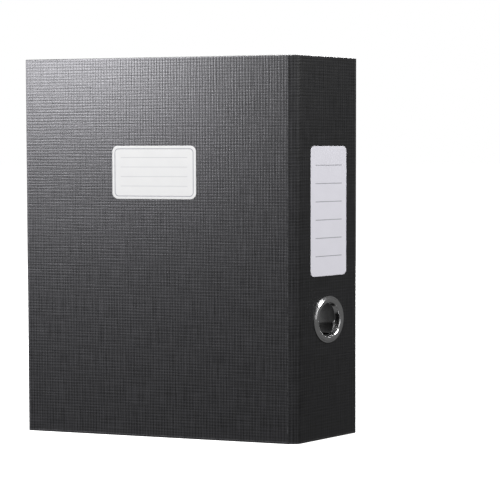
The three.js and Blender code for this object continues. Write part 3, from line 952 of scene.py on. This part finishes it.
def plated_metal(name, dark, light, rough, brush, depth=0.004):
    """Plated metal with faint drawing lines, cloudy tone and handling marks."""
    finish = Finish(name)
    lines = finish.noise(finish.place(size=brush), 3.0, 0.6)
    cloud = finish.noise(finish.place(size=(7 * MM, 7 * MM, 7 * MM)), 3.0, 0.6)
    level = finish.calculate("MULTIPLY_ADD", cloud, 0.6, finish.calculate("MULTIPLY", lines, 0.4))
    colour = finish.tint(finish.spread(level, 0.35, 0.65), dark, light)
    finish.join(colour, finish.shader.inputs["Base Color"])
    finish.join(
        finish.spread(level, 0.3, 0.7, rough * 0.85, rough * 1.2),
        finish.shader.inputs["Roughness"])
    finish.relief(lines, depth, 0.5)
    finish.set(Metallic=1.0)
    return finish.material


def moulded_plastic():
    finish = Finish("black_moulded_plastic")
    grain = finish.noise(finish.place(size=(0.25 * MM, 0.25 * MM, 0.25 * MM)), 2.0, 0.5)
    colour = finish.tint(grain, (0.014, 0.014, 0.015), (0.026, 0.026, 0.028))
    finish.join(colour, finish.shader.inputs["Base Color"])
    finish.join(finish.spread(grain, 0.3, 0.7, 0.35, 0.5), finish.shader.inputs["Roughness"])
    finish.relief(grain, 0.02, 0.4)
    return finish.material


linen = linen_paper()
lining = lining_paper()
board = grey_board()
front_print = ruled_paper(
    "front_label_print", FRONT_LABEL,
    {"first": 10.85, "pitch": 7.95, "count": 4, "line": 0.45, "margin": 7.6},
    (0.86, 0.86, 0.865), (0.42, 0.42, 0.46),
    {"inset": 2.45, "corner": 3.3, "line": 0.6, "rule_ink": 0.42})
# The spine label's paper is given a darker colour than the front label's: painted shade.
spine_print = ruled_paper(
    "spine_label_print", SPINE_LABEL,
    {"first": 16.5, "pitch": 15.06, "count": 6, "line": 0.5, "margin": 6.3},
    (0.76, 0.75, 0.81), (0.30, 0.30, 0.33), None)
dark_nickel = plated_metal(
    "dark_nickel_plate", (0.60, 0.60, 0.605), (0.72, 0.72, 0.725), 0.2,
    (3 * MM, 3 * MM, 3 * MM))
bright_nickel = plated_metal(
    "bright_nickel_plate", (0.68, 0.685, 0.69), (0.80, 0.805, 0.81), 0.30,
    (0.4 * MM, 0.4 * MM, 9 * MM), 0.002)
spring_steel = plated_metal(
    "spring_steel_wire", (0.30, 0.31, 0.33), (0.46, 0.47, 0.49), 0.32,
    (0.2 * MM, 0.2 * MM, 2.5 * MM))
plastic = moulded_plastic()

CAD_FINISH = {
    "greyboard": board,
    "nickel": bright_nickel,
    "spring_steel": spring_steel,
    "dark_nickel": dark_nickel,
    "roller_plastic": plastic,
    "lining_paper": board,
    "cover_paper": board,
    "label_paper": board,
}


def cad_slots():
    """The material slot of each CAD node, by the names of the parts."""
    slots = {}
    for name in frame["nodes"]:
        if name.endswith("_board"):
            slots[name] = "greyboard"
        elif name.endswith("_wrap"):
            slots[name] = "cover_paper"
        elif name.endswith("_lining"):
            slots[name] = "lining_paper"
        elif name.endswith("_label"):
            slots[name] = "label_paper"
        elif name in ("finger_ring", "ring_washer"):
            slots[name] = "dark_nickel"
        elif name == "lever_roller":
            slots[name] = "roller_plastic"
        elif name in ("arch_spring", "lever_pin", "roller_pin", "catch_lower", "catch_upper"):
            slots[name] = "spring_steel"
        else:
            slots[name] = "nickel"
    return slots


for node_name, slot_name in cad_slots().items():
    node = frame["nodes"][node_name]
    node.data.materials.clear()
    node.data.materials.append(CAD_FINISH[slot_name])

# ---------- covering and lining ----------
front_folds = [(COVER_CREASE, -COVER_BEND), (STRIP_CREASE, -STRIP_BEND)]

front_covering = cover_front()
spine_covering = cover_spine()
back_covering = cover_back()
front_sheet, spine_sheet, back_sheet = line_binder()

for covering, paper, slot_name in (
        (front_covering, linen, "cover_paper"),
        (spine_covering, linen, "cover_paper"),
        (back_covering, linen, "cover_paper"),
        (front_sheet, lining, "lining_paper"),
        (spine_sheet, lining, "lining_paper"),
        (back_sheet, lining, "lining_paper")):
    dress(covering, paper)
    smooth(covering, 40.0)

for covering in (front_covering, front_sheet):
    blend_over(
        covering)
for covering in (spine_covering, spine_sheet):
    blend_over(covering)
for covering in (back_covering, back_sheet):
    blend_over(covering)

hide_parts("front_wrap")
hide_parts("spine_wrap", "strip_wrap")
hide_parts("back_wrap")
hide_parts("front_lining")
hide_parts("spine_lining", "strip_lining")
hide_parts("back_lining")

strip_board = hinge_strip_board()
dress(strip_board, board)
smooth(strip_board, 30.0)
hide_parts("strip_board")
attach(strip_board, "strip")

# ---------- labels and finger ring ----------
spine_label = paper_label("spine_paper_label", SPINE_LABEL)
dress(spine_label, spine_print)
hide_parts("spine_label")
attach(spine_label, "spine")

front_label = paper_label("front_paper_label", FRONT_LABEL)
for crease_y, bend in front_folds:
    mark(front_label, lambda v: True)
    turn(bend, (0.0, crease_y, 0.0))
    close_mesh()
dress(front_label, front_print)
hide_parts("front_label")
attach(front_label, "front_cover")

ring = finger_ring()
smooth(ring, 30.0)
dress(ring, dark_nickel)
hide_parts("finger_ring")
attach(ring, "spine")

washer = ring_washer()
smooth(washer, 30.0)
dress(washer, dark_nickel)
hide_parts("ring_washer")
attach(washer, "spine")

# ---------- arch wire ----------
arch = bent_wire("bent_arch_wire", WIRE, [
    (POST_U, POST_TOP + 0.3, -HALF_SPACING),
    (POST_U, ARCH_CROWN, -HALF_SPACING, ARCH_BEND),
    (ARCH_U, ARCH_CROWN, -HALF_SPACING, ARCH_BEND),
    (ARCH_U, AXLE_H, -HALF_SPACING, 4.0),
    (ARCH_U, AXLE_H, CRANK_Z[0], 3.0),
    (CRANK_U, AXLE_H, CRANK_Z[0], 3.0),
    (CRANK_U, AXLE_H, CRANK_Z[1], 3.0),
    (ARCH_U, AXLE_H, CRANK_Z[1], 3.0),
    (ARCH_U, AXLE_H, HALF_SPACING, 4.0),
    (ARCH_U, ARCH_CROWN, HALF_SPACING, ARCH_BEND),
    (POST_U, ARCH_CROWN, HALF_SPACING, ARCH_BEND),
    (POST_U, POST_TOP + 0.3, HALF_SPACING),
])
smooth(arch, 45.0)
dress(arch, bright_nickel)
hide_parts("arch_wire")
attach(arch, "arch")

# ---------- pressed steel parts ----------
for node_name, piece_name, body, metal, slot_name in (
        ("base_plate", "pressed_base_plate", "back_cover", bright_nickel, "nickel"),
        ("lever", "pressed_lever", "lever", bright_nickel, "nickel"),
        ("compressor_bar", "pressed_compressor_bar", "compressor", bright_nickel, "nickel"),
        ("catch_lower", "spring_catch_lower", "compressor", spring_steel, "spring_steel"),
        ("catch_upper", "spring_catch_upper", "compressor", spring_steel, "spring_steel")):
    pressed = softened(node_name, piece_name)
    smooth(pressed, 40.0)
    dress(pressed, metal)
    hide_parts(node_name)
    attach(pressed, body)

# ---------- posts, pins, roller and rivets ----------
for name, z, node_name in (
        ("turned_post_lower", -HALF_SPACING, "post_lower"),
        ("turned_post_upper", HALF_SPACING, "post_upper")):
    post = post_tube(name, z)
    smooth(post, 30.0)
    dress(post, bright_nickel)
    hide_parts(node_name)
    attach(post, "back_cover")


for name, node_name, body, pin_size in (
        ("headed_lever_pin", "lever_pin", "back_cover", (LEVER_Z, LEVER_H, 1.5, 2.4, 5.1)),
        ("headed_roller_pin", "roller_pin", "lever", (ROLLER_Z, ROLLER_H, 1.2, 1.9, 3.5))):
    pin = headed_pin(name, *pin_size)
    smooth(pin, 30.0)
    dress(pin, spring_steel)
    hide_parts(node_name)
    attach(pin, body)

wheel_profile = [(1.3, -2.1), (2.45, -2.1), (2.6, -2.06), (2.94, -1.82), (3.0, -1.68)]
wheel_profile += [(3.0, -0.5), (2.93, -0.4), (2.93, 0.4), (3.0, 0.5), (3.0, 1.68)]
wheel_profile += [(2.94, 1.82), (2.6, 2.06), (2.45, 2.1), (1.3, 2.1), (1.3, -2.1)]
wheel = turned(
    "moulded_lever_roller", wheel_profile, tuple(at(LEVER_U, ROLLER_H, ROLLER_Z)), "x", steps=40)
smooth(wheel, 30.0)
dress(wheel, plastic)
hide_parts("lever_roller")
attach(wheel, "roller")

# A rivet clamps the plate to the back board: flat set head inside, domed head outside.
rivet_profile = [(0.0, -2.95), (2.3, -2.95), (2.9, -2.8), (3.3, -2.55), (3.4, -2.25), (3.4, -2.05)]
rivet_profile += [(2.0, -2.05), (2.0, 2.0), (4.5, 2.0), (4.5, 2.14), (4.38, 2.36)]
rivet_profile += [(4.0, 2.62), (3.2, 2.86), (2.0, 3.0), (0.0, 3.05)]
rivet = turned(
    "domed_rivet_1", rivet_profile, (-RIVET_U[0], LINING_Y + 1.0, MECHANISM_Z + RIVET_Z[0]), "y",
    steps=32)
smooth(rivet, 30.0)
dress(rivet, bright_nickel)
rivets = [rivet]
for number, (u, z) in enumerate(((0, 1), (1, 0), (1, 1)), start=2):
    take(rivet)
    bpy.ops.object.duplicate(linked=False)
    twin = bpy.context.object
    twin.name = "domed_rivet_" + str(number)
    twin.data.name = twin.name
    mark(twin, lambda v: True)
    move(x=RIVET_U[0] - RIVET_U[u], z=RIVET_Z[z] - RIVET_Z[0])
    close_mesh()
    rivets.append(twin)
for number, twin in enumerate(rivets, start=1):
    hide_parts("rivet_" + str(number))
    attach(twin, "back_cover")


spring = torsion_spring()
smooth(spring, 45.0)
dress(spring, spring_steel)
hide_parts("arch_spring")
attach(spring, "back_cover")

# ---------- floor, light and camera ----------
def seen_only(stage_piece):
    """The floor and backdrop show as plain white and throw no light back on the binder."""
    stage_piece.visible_diffuse = False
    stage_piece.visible_glossy = False
    stage_piece.visible_transmission = False
    stage_piece.visible_shadow = False


def glowing(name, shade, strength):
    finish = Finish(name)
    finish.set(Base_Color=(shade, shade, shade, 1.0), Roughness=1.0, Specular_IOR_Level=0.0)
    finish.set(Emission_Color=(1.0, 1.0, 1.0, 1.0), Emission_Strength=strength)
    return finish.material


bare_hands()
bpy.ops.mesh.primitive_plane_add(size=60.0, location=(0.0, 0.0, -0.0002))
floor = bpy.context.object
floor.name = "studio_floor"
floor.data.materials.append(glowing("pale_floor", 0.35, 1.0))
seen_only(floor)

bare_hands()
bpy.ops.mesh.primitive_uv_sphere_add(segments=32, ring_count=16, radius=25.0)
backdrop = bpy.context.object
backdrop.name = "studio_backdrop"
open_mesh(backdrop)
bpy.ops.mesh.select_all(action="SELECT")
bpy.ops.mesh.flip_normals()
close_mesh()
backdrop.data.materials.append(glowing("white_backdrop", 0.0, 1.0))
seen_only(backdrop)

scene = bpy.context.scene
scene.view_settings.view_transform = "Standard"
world = bpy.data.worlds.new("soft_room_light")
scene.world = world
world.use_nodes = True
world.node_tree.nodes["Background"].inputs["Color"].default_value = (1.0, 1.0, 1.0, 1.0)
world.node_tree.nodes["Background"].inputs["Strength"].default_value = ROOM_LIGHT


def soft_light(name, place, aim, width, height, watts):
    bare_hands()
    bpy.ops.object.light_add(type="AREA", location=place)
    lamp = bpy.context.object
    lamp.name = name
    lamp.data.shape = "RECTANGLE"
    lamp.data.size = width
    lamp.data.size_y = height
    lamp.data.energy = watts
    lamp.rotation_euler = (Vector(aim) - Vector(place)).to_track_quat("-Z", "Y").to_euler()
    return lamp


sheen_light = soft_light(
    "cover_softbox", (-0.36, -1.10, 0.68), (-0.15, -0.10, 0.25), 0.5, 0.5, 18.5)
sheen_light.data.color = (0.955, 0.945, 1.0)
soft_light("front_softbox", (-0.30, -1.20, 1.75), (-0.1, 0.0, 0.15), 0.8, 0.8, 54.0)
soft_light("spine_softbox", (1.30, 0.20, 1.60), (0.0, 0.0, 0.15), 0.8, 0.8, 44.0)
soft_light("back_softbox", (-0.80, 1.50, 1.20), (-0.1, 0.0, 0.15), 0.9, 0.9, 70.0)
soft_light("inside_softbox", (-1.60, 0.00, 0.90), (-0.1, 0.0, 0.15), 0.8, 0.8, 7.0)

# The sheen light is kept off the two labels, as a card would keep it off them.
shaded = bpy.data.collections.new("kept_out_of_the_sheen")
for label in (spine_label, front_label):
    shaded.objects.link(label)
sheen_light.light_linking.receiver_collection = shaded
for member in shaded.collection_objects:
    member.light_linking.link_state = "EXCLUDE"

# A tall card gives the finger ring its long highlights and lights nothing else.
ring_light = soft_light("ring_card", (1.05, -1.25, 0.86), (0.0, 0.0, 0.10), 0.40, 1.5, 4.5)
ringed = bpy.data.collections.new("lit_by_the_ring_card")
for metal in (ring, washer):
    ringed.objects.link(metal)
ring_light.light_linking.receiver_collection = ringed

CAMERA = Vector((0.9006, -1.1193, 0.2419))
HEADING = math.radians(131.41)
PITCH = math.radians(-3.35)
ROLL = math.radians(-0.11)
SENSOR = 36.0
FOCAL_SHARE = 3.4556

lens_data = bpy.data.cameras.new("studio_camera")
camera = bpy.data.objects.new("studio_camera", lens_data)
scene.collection.objects.link(camera)
scene.camera = camera
lens_data.sensor_width = SENSOR
lens_data.lens = FOCAL_SHARE * SENSOR
lens_data.clip_start = 0.05
lens_data.clip_end = 100.0
forward = Vector((
    math.cos(PITCH) * math.cos(HEADING), math.cos(PITCH) * math.sin(HEADING), math.sin(PITCH)))
level_right = Vector((math.sin(HEADING), -math.cos(HEADING), 0.0))
level_up = level_right.cross(forward)
right = level_right * math.cos(ROLL) + level_up * math.sin(ROLL)
up = level_up * math.cos(ROLL) - level_right * math.sin(ROLL)
camera.matrix_world = Matrix((
    (right.x, up.x, -forward.x, CAMERA.x),
    (right.y, up.y, -forward.y, CAMERA.y),
    (right.z, up.z, -forward.z, CAMERA.z),
    (0.0, 0.0, 0.0, 1.0)))

bare_hands()
